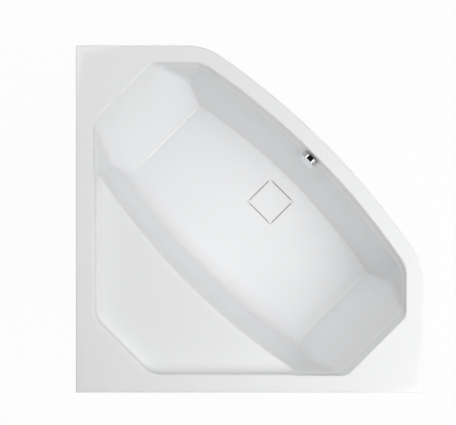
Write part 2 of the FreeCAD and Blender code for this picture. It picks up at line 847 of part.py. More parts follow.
def waste_body():
    """The pot under the recess: a flange, a barrel, a neck, the overflow's inlet and a gland."""
    bore = waste_body_radius - waste_body_wall
    flange_low = waste_body_top - waste_body_flange_thickness
    neck_bore = waste_neck_radius - waste_body_wall
    body = disc(waste_body_flange_radius, flange_low, waste_body_top)
    body = body.fuse(disc(waste_body_radius, waste_body_bottom, flange_low))
    body = body.fuse(disc(waste_neck_radius, waste_neck_bottom, waste_body_bottom))
    inlet_start = Vector(0, 0, waste_inlet_level)
    body = body.fuse(Part.makeCylinder(pipe_radius, waste_inlet_reach, inlet_start, along_y))
    gland_start = Vector(cable_side, gland_root, cable_level)
    body = body.fuse(Part.makeCylinder(gland_radius, waste_gland_reach - gland_root, gland_start, along_y))
    body = body.cut(disc(waste_hole_radius, flange_low, waste_body_top))
    body = body.cut(disc(bore, waste_body_bottom + waste_body_wall, flange_low))
    body = body.cut(disc(neck_bore, waste_neck_bottom, waste_body_bottom + waste_body_wall))
    inlet_bore = pipe_radius - pipe_spigot_wall
    body = body.cut(Part.makeCylinder(inlet_bore, waste_inlet_reach, inlet_start, along_y))
    gland_span = waste_gland_reach - gland_root
    body = body.cut(Part.makeCylinder(cable_wire_radius, gland_span, gland_start, along_y))
    half_hole = lever_shaft_half + lever_shaft_fit
    body = body.cut(Part.makeCylinder(lever_shaft_radius + lever_shaft_fit, 2 * half_hole,
                                      Vector(-half_hole, lever_arm, lever_level), along_x))
    body = body.removeSplitter().Solids[0]
    body.translate(Vector(0, drain_centre_y, 0))
    return body


def bar_across(radius, width, x, y, z):
    return Part.makeCylinder(radius, width, Vector(x - width / 2, y, z), along_x)


def lever_arm_plate(x, width, thickness, start, end):
    """A flat arm across the shaft, between two points of the plane that the lever swings in."""
    run = Vector(0, end[0] - start[0], end[1] - start[1])
    side = run.cross(along_x).normalize().multiply(thickness / 2)
    foot = Vector(x - width / 2, start[0], start[1])
    corners = [foot.add(side), foot.add(run).add(side), foot.add(run).sub(side), foot.sub(side)]
    return Part.Face(Part.makePolygon(corners + corners[:1])).extrude(Vector(width, 0, 0))


def lift_lever():
    """The rocking shaft: one arm lifts the plug's stem, the other takes the cable's wire."""
    tip = lever_tip()
    pivot = (lever_arm, lever_level)
    tail = (lever_arm, lever_level - lever_tail)
    lever = bar_across(lever_shaft_radius, 2 * lever_shaft_half, 0, *pivot)
    lever = lever.fuse(bar_across(lever_hub_radius, lever_width, 0, *pivot))
    lever = lever.fuse(bar_across(lever_tip_radius, lever_width, 0, *tip))
    lever = lever.fuse(lever_arm_plate(0, lever_width, 2 * lever_shaft_radius, pivot, tip))
    lever = lever.fuse(bar_across(lever_hub_radius, lever_tail_width, lever_tail_x, *pivot))
    lever = lever.fuse(bar_across(lever_tail_radius, lever_tail_width, lever_tail_x, *tail))
    lever = lever.fuse(lever_arm_plate(lever_tail_x, lever_tail_width, 2 * lever_shaft_radius, pivot, tail))
    lever = lever.cut(bar_across(cable_wire_radius, 2 * lever_tail_width, lever_tail_x, *tail))
    lever = lever.removeSplitter().Solids[0]
    lever.translate(Vector(0, drain_centre_y, 0))
    return lever


# ------------------------------------------------------------------------------ trap
def turned_to_outlet(shape):
    """A shape drawn about the drain's centre with its outlet to the room corner, turned to a wall."""
    placed = shape.copy()
    placed.rotate(Vector(0, 0, 0), upwards, -outlet_turn)
    placed.translate(Vector(0, drain_centre_y, 0))
    return placed


def trap_seal():
    inner = waste_neck_radius - waste_body_wall
    return ring(waste_neck_radius, inner, trap_collar_top, waste_neck_bottom, 0, drain_centre_y)


def trap_nut():
    high = trap_nut_bottom + trap_nut_height
    return ribbed_nut(waste_neck_radius + trap_nut_wall, waste_neck_radius, trap_nut_bottom, high)


def ribbed_nut(outer, inner, low, high):
    """A moulded union nut on the drain's centre line, with grip ribs around it."""
    body = disc(outer - nut_rib_depth, low, high)
    for step in range(nut_ribs):
        rib = block(0, outer, -nut_rib_width / 2, nut_rib_width / 2, low, high)
        rib.rotate(Vector(0, 0, 0), upwards, 360.0 * step / nut_ribs)
        body = body.fuse(rib)
    body = body.removeSplitter().cut(disc(inner, low, high))
    body.translate(Vector(0, drain_centre_y, 0))
    return body.Solids[0]


def trap_bowl():
    """The water trap: a closed bowl, a collar with a dip tube in it, and an outlet spigot."""
    inner = waste_neck_radius - waste_body_wall
    bowl = disc(trap_radius, trap_floor_gap, trap_top)
    bowl = rounded(bowl, trap_wall, lambda edge: at_level(edge, trap_top) or at_level(edge, trap_floor_gap))
    reach = trap_radius + outlet_spigot_length
    spigot_end = Vector(0, -reach, outlet_level)
    bowl = bowl.fuse(Part.makeCylinder(outlet_radius, reach, spigot_end, along_y))
    bowl = bowl.cut(disc(trap_radius - trap_wall, trap_floor_gap + trap_wall, trap_top - trap_wall))
    bowl = bowl.cut(Part.makeCylinder(outlet_radius - outlet_wall, reach, spigot_end, along_y))
    dip_tube_bottom = trap_floor_gap + trap_wall + dip_tube_gap
    bowl = bowl.fuse(disc(waste_neck_radius, dip_tube_bottom, trap_collar_top))
    bowl = bowl.cut(disc(inner, dip_tube_bottom, trap_collar_top))
    return turned_to_outlet(bowl.removeSplitter().Solids[0])


def outlet_pipe():
    """The pipe to the house drain, with a thinner tail that the nut holds to the spigot."""
    joint = -trap_radius - outlet_spigot_length
    tail_length = outlet_nut_length / 2
    shoulder = Vector(0, joint - tail_length, outlet_level)
    outwards = Vector(0, -1, 0)
    pipe = Part.makeCylinder(outlet_radius, outlet_free_length, shoulder, outwards)
    tail = Part.makeCylinder(outlet_radius - outlet_tail_play, tail_length, shoulder, along_y)
    bore_start = Vector(0, joint, outlet_level)
    bore = Part.makeCylinder(outlet_radius - outlet_wall, outlet_free_length + tail_length,
                             bore_start, outwards)
    return turned_to_outlet(pipe.fuse(tail).cut(bore).removeSplitter())


def outlet_nut():
    half = outlet_nut_length / 2
    nut = ribbed_nut(outlet_radius + outlet_nut_wall, outlet_radius, -half, half)
    nut.translate(Vector(0, -drain_centre_y, 0))
    nut.rotate(Vector(0, 0, 0), along_x, 90)
    nut.translate(Vector(0, -trap_radius - outlet_spigot_length, outlet_level))
    return turned_to_outlet(nut)


# ------------------------------------------------------------------------------ overflow and knob
def overflow_gasket():
    outer = overflow_hole_radius + overflow_gasket_lap
    return at_overflow(ring(outer, overflow_hole_radius, overflow_body_front, gasket_front))


def overflow_front_seal():
    return at_overflow(ring(rosette_radius, overflow_hole_radius, wall_sag, rosette_back))


def rosette_screw_places():
    return [(-rosette_screw_offset, 0.0), (rosette_screw_offset, 0.0)]


def overflow_body():
    """The pot behind the front wall, with a spigot, a cable gland and bosses for the screws."""
    bore = overflow_body_radius - overflow_body_wall
    back = overflow_body_back + overflow_body_wall
    down = Vector(0, -1, 0)
    middle_point = Vector(0, 0, pipe_depth)
    gland_point = Vector(cable_side, -gland_root, pipe_depth)
    reach = -overflow_spigot_end
    boss_radius = rosette_screw_radius + overflow_boss_wall
    socket_radius = spindle_radius + spindle_socket_wall
    body = disc(overflow_body_radius, overflow_body_back, overflow_body_front)
    body = body.fuse(Part.makeCylinder(pipe_radius, reach, middle_point, down))
    body = body.fuse(Part.makeCylinder(gland_radius, overflow_gland_reach - gland_root, gland_point, down))
    body = body.cut(disc(bore, back, overflow_body_front))
    body = body.cut(Part.makeCylinder(pipe_radius - pipe_spigot_wall, reach, middle_point, down))
    gland_span = overflow_gland_reach - gland_root
    body = body.cut(Part.makeCylinder(cable_wire_radius, gland_span, gland_point, down))
    for x, y in rosette_screw_places():
        body = body.fuse(disc(boss_radius, back, overflow_body_front, x, y))
    body = body.fuse(disc(socket_radius, back, back + spindle_socket_depth))
    screw_tip = rosette_front - rosette_screw_length
    for x, y in rosette_screw_places():
        body = body.cut(disc(rosette_screw_radius, screw_tip, overflow_body_front, x, y))
    body = body.cut(disc(spindle_radius + spindle_fit, back, back + spindle_socket_depth))
    return at_overflow(body.removeSplitter().Solids[0])


def overflow_rosette():
    """The front flange that clamps the overflow to the wall, with four windows for the water."""
    rosette = disc(rosette_radius, rosette_back, rosette_front)
    for quarter in range(4):
        turn = math.radians(45 + 90 * quarter)
        x = rosette_window_offset * math.cos(turn)
        y = rosette_window_offset * math.sin(turn)
        rosette = rosette.cut(disc(rosette_window_radius, rosette_back, rosette_front, x, y))
    for x, y in rosette_screw_places():
        rosette = rosette.cut(disc(rosette_screw_radius + screw_play, rosette_back, rosette_front, x, y))
    return at_overflow(rosette.cut(disc(spindle_radius + spindle_fit, rosette_back, rosette_front)))


def rosette_screws():
    screws = []
    head_top = rosette_front + rosette_screw_head_height
    tip = rosette_front - rosette_screw_length
    for x, y in rosette_screw_places():
        head = disc(rosette_screw_head_radius, rosette_front, head_top, x, y)
        shank = disc(rosette_screw_radius, tip, rosette_front, x, y)
        screws.append(at_overflow(head.fuse(shank).removeSplitter()))
    return screws


def overflow_knob():
    """The round knob: a cup with a flat face, a hub for the spindle, and a notch for the water."""
    knob = disc(knob_radius, knob_play, knob_front)
    knob = rounded(knob, knob_edge_radius, lambda edge: at_level(edge, knob_front))
    knob = knob.cut(disc(knob_radius - knob_wall, knob_play, knob_front - knob_face))
    hub_back = knob_front - knob_face - knob_hub_length
    knob = knob.fuse(disc(spindle_radius + knob_hub_wall, hub_back, knob_front - knob_face))
    knob = knob.cut(disc(spindle_radius, hub_back, knob_front - knob_face))
    half = knob_notch_width / 2
    notch = block(-half, half, -knob_radius, -knob_radius / 2, knob_play, knob_play + knob_notch_height)
    return at_overflow(knob.cut(notch).removeSplitter().Solids[0])


def knob_spindle():
    return at_overflow(disc(spindle_radius, overflow_body_back + overflow_body_wall + loose_play,
                            knob_front - knob_face))


def cable_drum():
    front = overflow_body_front - drum_front_gap
    return at_overflow(ring(spindle_radius + drum_wall, spindle_radius, front - drum_length, front))


# ------------------------------------------------------------------------------ overflow pipe and cable
def bent_run(x, start_down, level, end_y, bend_radius):
    """The edges of a run that goes down behind the front wall and turns to the drain."""
    start = overflow_axis_place().multVec(Vector(x, start_down, pipe_depth))
    down = Vector(0, -math.sin(wall_tilt), -math.cos(wall_tilt))
    corner = start.add(Vector(down).multiply((start.z - level) / math.cos(wall_tilt)))
    end = Vector(x, end_y, level)
    turn = math.pi / 2 - wall_tilt
    tangent = bend_radius * math.tan(turn / 2)
    before = corner.sub(Vector(down).multiply(tangent))
    after = corner.add(Vector(0, -tangent, 0))
    centre = after.add(Vector(0, 0, bend_radius))
    outward = corner.sub(centre).normalize()
    bend_middle = centre.add(outward.multiply(bend_radius))
    return [Part.LineSegment(start, before).toShape(),
            Part.Arc(before, bend_middle, after).toShape(),
            Part.LineSegment(after, end).toShape()]


def round_bar(run, radius):
    path = Part.Wire(run)
    start = run[0].Vertexes[0].Point
    heading = run[0].Vertexes[1].Point.sub(start)
    section = Part.Wire(Part.Circle(start, heading, radius).toShape())
    return path.makePipeShell([section], True, False)


def pipe_run():
    end_y = drain_centre_y + waste_inlet_reach
    return bent_run(0.0, overflow_spigot_end, waste_inlet_level, end_y, pipe_bend_radius)


def cable_run():
    end_y = drain_centre_y + waste_gland_reach
    return bent_run(cable_side, -overflow_gland_reach, cable_level, end_y, cable_bend_radius)


def overflow_pipe():
    return round_bar(pipe_run(), pipe_radius).cut(round_bar(pipe_run(), pipe_radius - pipe_wall))


def pipe_nuts():
    """The union nuts at the ends of the overflow pipe, each half over the pipe and its spigot."""
    half = pipe_nut_length / 2
    upper = Part.makeCylinder(pipe_nut_radius, pipe_nut_length,
                              Vector(0, overflow_spigot_end - half, pipe_depth), along_y)
    upper = upper.cut(Part.makeCylinder(pipe_radius, pipe_nut_length,
                                        Vector(0, overflow_spigot_end - half, pipe_depth), along_y))
    start = Vector(0, drain_centre_y + waste_inlet_reach - half, waste_inlet_level)
    lower = Part.makeCylinder(pipe_nut_radius, pipe_nut_length, start, along_y)
    lower = lower.cut(Part.makeCylinder(pipe_radius, pipe_nut_length, start, along_y))
    return [at_overflow(upper), lower]


def control_cable():
    return round_bar(cable_run(), cable_radius)


def cable_ferrules():
    outer = cable_radius + ferrule_wall
    top = Vector(cable_side, -overflow_gland_reach - ferrule_length, pipe_depth)
    upper = Part.makeCylinder(outer, ferrule_length, top, along_y)
    upper = upper.cut(Part.makeCylinder(cable_radius, ferrule_length, top, along_y))
    start = Vector(cable_side, drain_centre_y + waste_gland_reach, cable_level)
    lower = Part.makeCylinder(outer, ferrule_length, start, along_y)
    lower = lower.cut(Part.makeCylinder(cable_radius, ferrule_length, start, along_y))
    return [at_overflow(upper), lower]


def cable_clips():
    """Clips that hold the cable to the straight stretch of the pipe."""
    straight = pipe_run()[0].Length - pipe_nut_length / 2
    clips = []
    for share in clip_shares:
        low = overflow_spigot_end - pipe_nut_length / 2 - share * straight
        around_pipe = Vector(0, low, pipe_depth)
        around_cable = Vector(cable_side, low, pipe_depth)
        clip = Part.makeCylinder(pipe_radius + clip_wall, clip_width, around_pipe, along_y)
        clip = clip.fuse(Part.makeCylinder(cable_radius + clip_wall, clip_width, around_cable, along_y))
        bridge = block(0, cable_side, low, low + clip_width, pipe_depth - clip_wall, pipe_depth + clip_wall)
        clip = clip.fuse(bridge)
        clip = clip.cut(Part.makeCylinder(pipe_radius, clip_width, around_pipe, along_y))
        clip = clip.cut(Part.makeCylinder(cable_radius, clip_width, around_cable, along_y))
        clips.append(at_overflow(clip.removeSplitter().Solids[0]))
    return clips


# ------------------------------------------------------------------------------ the whole bath
def all_nodes():
    """Every node's name with its shape, or with its list of like shapes, in the plan frame."""
    nodes = {
        "bath_shell": bath_shell(),
        "glass_fibre_backing": glass_fibre_backing(),
        "base_board": base_board(),
        "seat_board": seat_board(),
        "wall_batten_right": wall_batten(),
        "wall_batten_left": mirrored(wall_batten()),
        "return_battens": [return_batten(), mirrored(return_batten())],
        "front_battens": [front_batten(), mirrored(front_batten())],
        "cradle_rail_right": cradle_rail(),
        "cradle_rail_left": mirrored(cradle_rail()),
        "corner_rail": corner_rail(),
        "rail_caps": rail_caps(),
        "rail_screws": rail_screws(),
        "seat_post": seat_post(),
        "seat_post_screws": seat_post_screws(),
        "captive_nuts": captive_nuts(),
        "wall_brackets": wall_brackets(),
        "bracket_screws": bracket_screws(),
        "drain_cover": drain_cover(),
        "cover_pads": cover_pads(),
        "waste_upper_seal": waste_upper_seal(),
        "waste_flange": waste_flange(),
        "waste_lower_gasket": waste_lower_gasket(),
        "waste_body": waste_body(),
        "drain_plug": drain_plug(),
        "plug_seal": plug_seal(),
        "lift_lever": lift_lever(),
        "trap_seal": trap_seal(),
        "trap_nut": trap_nut(),
        "trap_bowl": trap_bowl(),
        "outlet_pipe": outlet_pipe(),
        "outlet_nut": outlet_nut(),
        "overflow_body": overflow_body(),
        "overflow_gasket": overflow_gasket(),
        "overflow_front_seal": overflow_front_seal(),
        "overflow_rosette": overflow_rosette(),
        "rosette_screws": rosette_screws(),
        "overflow_knob": overflow_knob(),
        "knob_spindle": knob_spindle(),
        "cable_drum": cable_drum(),
        "overflow_pipe": overflow_pipe(),
        "pipe_nuts": pipe_nuts(),
        "control_cable": control_cable(),
        "cable_ferrules": cable_ferrules(),
        "cable_clips": cable_clips(),
    }
    for name, (x, y) in feet.items():
        nodes["foot_stud_" + name] = foot_stud(x, y)
        nodes["foot_pad_" + name] = foot_pad(x, y)
        nodes["foot_lock_nut_" + name] = foot_lock_nut(x, y)
    return nodes


def export(name, shapes):
    shapes = shapes if isinstance(shapes, list) else [shapes]
    placed = []
    for solid in [solid for shape in shapes for solid in shape.Solids]:
        moved = solid.copy()
        moved.Placement = room_place.multiply(moved.Placement)
        placed.append(moved)
    whole = Part.makeCompound(placed) if len(placed) > 1 else placed[0]
    whole.exportStep(os.path.join("parts", name + ".step"))


if __name__ == "__main__":
    print("bend radii:", pipe_bend_radius, cable_bend_radius)
    for node_name, node_shapes in all_nodes().items():
        export(node_name, node_shapes)
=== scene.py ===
import math

import bpy
import numpy as np
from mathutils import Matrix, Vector, noise


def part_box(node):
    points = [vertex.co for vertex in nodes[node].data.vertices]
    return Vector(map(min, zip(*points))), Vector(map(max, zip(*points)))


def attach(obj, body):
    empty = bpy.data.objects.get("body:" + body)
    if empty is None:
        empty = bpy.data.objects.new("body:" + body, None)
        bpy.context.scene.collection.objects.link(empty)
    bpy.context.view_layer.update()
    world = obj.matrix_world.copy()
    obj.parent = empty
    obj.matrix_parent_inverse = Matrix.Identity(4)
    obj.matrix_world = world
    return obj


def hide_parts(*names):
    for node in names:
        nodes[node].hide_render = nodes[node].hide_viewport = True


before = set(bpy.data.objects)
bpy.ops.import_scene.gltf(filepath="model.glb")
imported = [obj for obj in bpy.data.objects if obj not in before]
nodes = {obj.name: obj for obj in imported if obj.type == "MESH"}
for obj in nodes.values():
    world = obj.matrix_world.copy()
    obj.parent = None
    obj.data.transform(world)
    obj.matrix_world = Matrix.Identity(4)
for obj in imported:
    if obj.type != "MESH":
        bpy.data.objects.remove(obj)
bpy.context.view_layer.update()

# The room: a white floor that keeps a faint shadow, an even pale surround and four soft boxes, two of
# them kept out of reflections. Only reflections meet a dark ceiling, grey studio walls and two bright
# cards, so that chrome has something to show. The camera looks straight down on the bath.
camera_place = (-0.0605, -0.055, 3.83)
camera_lens = 62.7
camera_shift = (-0.0768, 0.0471)
floor_half_size = 6.0
floor_colour = (0.90, 0.90, 0.90, 1.0)
floor_roughness = 0.9
floor_own_light = 0.95
surround_strength = 0.19
softboxes = {
    "left_end": {"place": (1.7, 1.7, 2.6), "size": 1.5, "power": 16.0, "mirrored": True},
    "right_end": {"place": (-1.7, -1.7, 2.6), "size": 1.5, "power": 28.0, "mirrored": True},
    "right_wall": {"place": (0.0, -1.8, 2.9), "size": 1.5, "power": 22.0, "mirrored": False},
    "overhead": {"place": (0.05, -0.05, 4.6), "size": 1.2, "power": 54.0, "mirrored": False},
}
softbox_target = (0.0, 0.0, 0.4)
ceiling_place, ceiling_radius, ceiling_tone = (0.9, -0.9, 4.7), 4.6, 0.012
wall_distance, wall_top, wall_tone = 6.0, 6.6, 0.30
glint_places = {"left_glint": (2.68, 0.32, 2.03), "right_glint": (-0.24, -2.64, 2.14)}
glint_half_width, glint_half_height, glint_tone = 0.60, 0.45, 1.6
card_sides = 48
corner_signs = [(-1, -1), (1, -1), (1, 1), (-1, 1)]


def new_material(name):
    """A material with its node tree and its Principled shader."""
    material = bpy.data.materials.new(name)
    material.use_nodes = True
    return material, material.node_tree, material.node_tree.nodes["Principled BSDF"]


def add_node(tree, kind, **values):
    """A node whose named sockets or settings are given as keywords."""
    node = tree.nodes.new(kind)
    for key, value in values.items():
        socket = node.inputs.get(key.replace("_", " "))
        if socket is not None:
            socket.default_value = value
        else:
            setattr(node, key, value)
    return node


def mesh_piece(name, points, faces, body):
    """A new piece from its points and faces, which rides on a body."""
    mesh = bpy.data.meshes.new(name)
    mesh.from_pydata(points, [], faces)
    mesh.validate()
    piece = bpy.data.objects.new(name, mesh)
    bpy.context.scene.collection.objects.link(piece)
    if body:
        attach(piece, body)
    return piece


def seen_directly(tree):
    """One for a ray that shows a surface to the eye, straight on, mirrored or through glass."""
    rays = add_node(tree, "ShaderNodeLightPath")
    seen = add_node(tree, "ShaderNodeMath", operation="MAXIMUM")
    also = add_node(tree, "ShaderNodeMath", operation="MAXIMUM")
    tree.links.new(rays.outputs["Is Camera Ray"], seen.inputs[0])
    tree.links.new(rays.outputs["Is Glossy Ray"], seen.inputs[1])
    tree.links.new(seen.outputs[0], also.inputs[0])
    tree.links.new(rays.outputs["Is Transmission Ray"], also.inputs[1])
    return also.outputs[0]


floor = mesh_piece("floor", [(floor_half_size * u, floor_half_size * v, 0) for u, v in corner_signs],
                   [(0, 1, 2, 3)], None)
material, tree, shader = new_material("floor_white")
shader.inputs["Base Color"].default_value = floor_colour
shader.inputs["Roughness"].default_value = floor_roughness
share = add_node(tree, "ShaderNodeMath", operation="MULTIPLY")
share.inputs[1].default_value = floor_own_light
glow = add_node(tree, "ShaderNodeEmission", Color=(1, 1, 1, 1), Strength=1.0)
blend = add_node(tree, "ShaderNodeMixShader")
tree.links.new(seen_directly(tree), share.inputs[0])
tree.links.new(share.outputs[0], blend.inputs[0])
tree.links.new(shader.outputs[0], blend.inputs[1])
tree.links.new(glow.outputs[0], blend.inputs[2])
tree.links.new(blend.outputs[0], tree.nodes["Material Output"].inputs["Surface"])
floor.data.materials.append(material)

world = bpy.data.worlds.new("surround")
bpy.context.scene.world = world
world.use_nodes = True
tree = world.node_tree
white = add_node(tree, "ShaderNodeBackground", Color=(1, 1, 1, 1), Strength=1.0)
blend = add_node(tree, "ShaderNodeMixShader")
even = tree.nodes["Background"]
even.inputs["Color"].default_value = (1, 1, 1, 1)
even.inputs["Strength"].default_value = surround_strength
tree.links.new(seen_directly(tree), blend.inputs[0])
tree.links.new(even.outputs[0], blend.inputs[1])
tree.links.new(white.outputs[0], blend.inputs[2])
tree.links.new(blend.outputs[0], tree.nodes["World Output"].inputs["Surface"])

for name, box in softboxes.items():
    lamp = bpy.data.lights.new("softbox_" + name, "AREA")
    lamp.size = box["size"]
    lamp.energy = box["power"]
    softbox = bpy.data.objects.new("softbox_" + name, lamp)
    softbox.location = box["place"]
    softbox.visible_glossy = box["mirrored"]
    aim = Vector(softbox_target) - Vector(box["place"])
    softbox.rotation_euler = aim.to_track_quat("-Z", "Y").to_euler()
    bpy.context.scene.collection.objects.link(softbox)


def reflection_card(name, points, faces, tone):
    """A studio card that only reflections meet. It casts no shadow and lights nothing."""
    card = mesh_piece(name, points, faces, None)
    material, tree, shader = new_material(name)
    rays = add_node(tree, "ShaderNodeLightPath")
    clear = add_node(tree, "ShaderNodeBsdfTransparent")
    plain = add_node(tree, "ShaderNodeEmission", Color=(tone, tone, tone, 1), Strength=1.0)
    blend = add_node(tree, "ShaderNodeMixShader")
    tree.links.new(rays.outputs["Is Glossy Ray"], blend.inputs[0])
    tree.links.new(clear.outputs[0], blend.inputs[1])
    tree.links.new(plain.outputs[0], blend.inputs[2])
    tree.links.new(blend.outputs[0], tree.nodes["Material Output"].inputs["Surface"])
    card.data.materials.append(material)


turns = [math.tau * step / card_sides for step in range(card_sides)]
ceiling = [(ceiling_place[0] + ceiling_radius * math.cos(t), ceiling_place[1] + ceiling_radius * math.sin(t),
            ceiling_place[2]) for t in turns]
reflection_card("dark_ceiling", ceiling, [tuple(range(card_sides))], ceiling_tone)
wall = [(wall_distance * math.cos(t), wall_distance * math.sin(t), z) for z in (0, wall_top) for t in turns]
wall_faces = [(k, (k + 1) % card_sides, card_sides + (k + 1) % card_sides, card_sides + k)
              for k in range(card_sides)]
reflection_card("grey_walls", wall, wall_faces, wall_tone)
knob_low, knob_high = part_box("overflow_knob")
for name, place in glint_places.items():
    facing = ((knob_low + knob_high) / 2 - Vector(place)).to_track_quat("-Z", "Y").to_matrix()
    glint = [tuple(Vector(place) + facing @ Vector((glint_half_width * u, glint_half_height * v, 0)))
             for u, v in corner_signs]
    reflection_card(name, glint, [(0, 1, 2, 3)], glint_tone)

lens = bpy.data.cameras.new("camera")
lens.lens = camera_lens
lens.shift_x, lens.shift_y = camera_shift
lens.dof.use_dof = False
camera = bpy.data.objects.new("camera", lens)
camera.location = camera_place
camera.rotation_euler = (0.0, 0.0, math.radians(-90))
bpy.context.scene.collection.objects.link(camera)
bpy.context.scene.camera = camera
bpy.context.scene.view_settings.view_transform = "Standard"

# The bath and its drain cover: one sheet of white sanitary acrylic, formed hot over a mould and
# polished, with the cover moulded in the same white. It is glossy and very slightly uneven.
acrylic_white = (0.86, 0.865, 0.87, 1.0)
acrylic_shade = (0.845, 0.85, 0.857, 1.0)
acrylic_gloss = (0.14, 0.20)
acrylic_wave = 9.0
acrylic_coat, coat_roughness = 0.25, 0.06


def make_group(name, inputs, outputs):
    """A shared effect as a node group, with its input and output nodes."""
    group = bpy.data.node_groups.new(name, "ShaderNodeTree")
    for label, kind, value in inputs:
        socket = group.interface.new_socket(name=label, in_out="INPUT", socket_type=kind)
        socket.default_value = value
    for label, kind in outputs:
        group.interface.new_socket(name=label, in_out="OUTPUT", socket_type=kind)
    return group, group.nodes.new("NodeGroupInput"), group.nodes.new("NodeGroupOutput")


number, colour = "NodeSocketFloat", "NodeSocketColor"
mottle, given, result = make_group(
    "mottle",
    [("Scale", number, 8.0), ("Light", colour, (1, 1, 1, 1)), ("Dark", colour, (0.9, 0.9, 0.9, 1)),
     ("Smooth", number, 0.2), ("Rough", number, 0.4), ("Grain Scale", number, 400.0)],
    [("Color", colour), ("Roughness", number), ("Height", number)])
place = add_node(mottle, "ShaderNodeTexCoord")
cloud = add_node(mottle, "ShaderNodeTexNoise", Detail=4.0, Roughness=0.55)
grain = add_node(mottle, "ShaderNodeTexNoise", Detail=2.0, Roughness=0.6)
tint = add_node(mottle, "ShaderNodeMix", data_type="RGBA")
gloss = add_node(mottle, "ShaderNodeMix", data_type="FLOAT")
mottle.links.new(place.outputs["Object"], cloud.inputs["Vector"])
mottle.links.new(place.outputs["Object"], grain.inputs["Vector"])
mottle.links.new(given.outputs["Scale"], cloud.inputs["Scale"])
mottle.links.new(given.outputs["Grain Scale"], grain.inputs["Scale"])
mottle.links.new(cloud.outputs["Fac"], tint.inputs[0])
mottle.links.new(given.outputs["Dark"], tint.inputs[6])
mottle.links.new(given.outputs["Light"], tint.inputs[7])
mottle.links.new(cloud.outputs["Fac"], gloss.inputs[0])
mottle.links.new(given.outputs["Smooth"], gloss.inputs[2])
mottle.links.new(given.outputs["Rough"], gloss.inputs[3])
mottle.links.new(tint.outputs[2], result.inputs["Color"])
mottle.links.new(gloss.outputs[0], result.inputs["Roughness"])
mottle.links.new(grain.outputs["Fac"], result.inputs["Height"])


def use_group(name, group, bump, metallic=0.0, **values):
    """A material whose colour, roughness and bump come from one of the shared effects. The bump is
    given as its strength and its depth in metres."""
    material, tree, shader = new_material(name)
    effect = tree.nodes.new("ShaderNodeGroup")
    effect.node_tree = group
    for key, value in values.items():
        effect.inputs[key.replace("_", " ")].default_value = value
    relief = add_node(tree, "ShaderNodeBump", Strength=bump[0], Distance=bump[1])
    tree.links.new(effect.outputs["Color"], shader.inputs["Base Color"])
    tree.links.new(effect.outputs["Roughness"], shader.inputs["Roughness"])
    tree.links.new(effect.outputs["Height"], relief.inputs["Height"])
    tree.links.new(relief.outputs["Normal"], shader.inputs["Normal"])
    shader.inputs["Metallic"].default_value = metallic
    return material


def dress(material, *names):
    """Puts a material on CAD nodes."""
    for name in names:
        nodes[name].material_slots[0].material = material


acrylic = use_group("sanitary_acrylic", mottle, bump=(0.02, 0.0002), Scale=acrylic_wave,
                    Light=acrylic_white, Dark=acrylic_shade, Smooth=acrylic_gloss[0],
                    Rough=acrylic_gloss[1], Grain_Scale=260.0)
shader = acrylic.node_tree.nodes["Principled BSDF"]
shader.inputs["Coat Weight"].default_value = acrylic_coat
shader.inputs["Coat Roughness"].default_value = coat_roughness
dress(acrylic, "drain_cover")

# Plan sizes of the mould in metres, in the bath's own frame: the room corner is the origin, +y runs
# to the middle of the curved front and +x along the basin.
rim_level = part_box("bath_shell")[1].z
wall_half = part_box("bath_shell")[1].x
basin_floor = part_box("drain_cover")[1].z
recess_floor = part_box("waste_upper_seal")[0].z
sheet_thickness = 0.005
lip_height = 0.040
lip_edge = 0.005
rim_at_wall = 0.072
rim_at_front = 0.066
front_reach = 1.422
front_radius = 3.040
outline_corner = 0.250
basin_half = 0.721
floor_half = 0.543
floor_front = 1.252
floor_back = 0.690
back_wall_top = 0.626
back_wall_radius = 2.860
draft = math.tan(math.radians(4.0))
seat_depth = 0.050
seat_start = 0.262
drain_y = 1.115
recess_half = 0.0745
recess_corner = 0.008
recess_edge = 0.0012
waste_hole = 0.026
blend_radii = {"front corner": 0.110, "seat corner": 0.100, "end": 0.026, "back foot": 0.110,
               "floor edge": 0.008, "seat edge": 0.009, "seat roll": 0.014, "rim roll": 0.005}
corner_facing = math.cos(math.radians(33))
seat_facing = math.cos(math.radians(45))
end_facing = 0.5
corner_half = wall_half * math.sqrt(2)
front_centre = front_reach - front_radius
depth = rim_level - basin_floor
end_lean = (basin_half - floor_half) / depth
front_lean = (front_reach - rim_at_front - floor_front) / depth
back_lean = (floor_back - back_wall_top) / (depth - seat_depth)
least_roll = 0.001

# How the sheet is drawn: along spokes around the drain, whose angles are in degrees, and in rings
# where rays from an eye above the drain meet the walls.
coarse_step = 1.0
fine_step = 0.25
fine_half = 3.0
last_too = 0.001
closest_spokes, spoke_snap = 0.05, 0.06
search_reach = 2.0
eye_height = 0.5
past_floor = 0.1
just_below, just_inside = 1e-5, 1e-7
turn_weight = 0.18
recess_shares = (0, 0.3, 0.6, 0.9, 1)
edge_share = 0.3
rim_shares = (0.25, 0.5, 0.75, 1)
lip_steps = 5
upper_samples, upper_rings = 520, 112
under_samples, under_rings = 120, 26
sheet_crease = 35


def round_max(a, b, radius, facing=0.0):
    """The larger of two distances, rounded where they meet. Facing is how much the two walls face
    the same way, the cosine between their normals, which makes the radius a true one."""
    u, v = a + radius, b + radius
    corner = (u > v * facing) & (v > u * facing)
    reach = np.sqrt(np.maximum(u * u + v * v - 2 * u * v * facing, 0) / (1 - facing ** 2))
    return np.where(corner, reach - radius, np.maximum(a, b))


def flow_max(a, b, width):
    """The larger of two distances, run into each other over a width with no edge to the curve."""
    near = np.maximum(1 - np.abs(a - b) / width, 0)
    return np.maximum(a, b) + width / 6 * near ** 3


def round_min(a, b, radius):
    """The smaller of two distances, rounded where they meet."""
    return -round_max(-a, -b, radius)


def upright(lean):
    """What turns a distance along the plan into one square to a wall with that lean."""
    return 1 / math.sqrt(1 + lean ** 2)


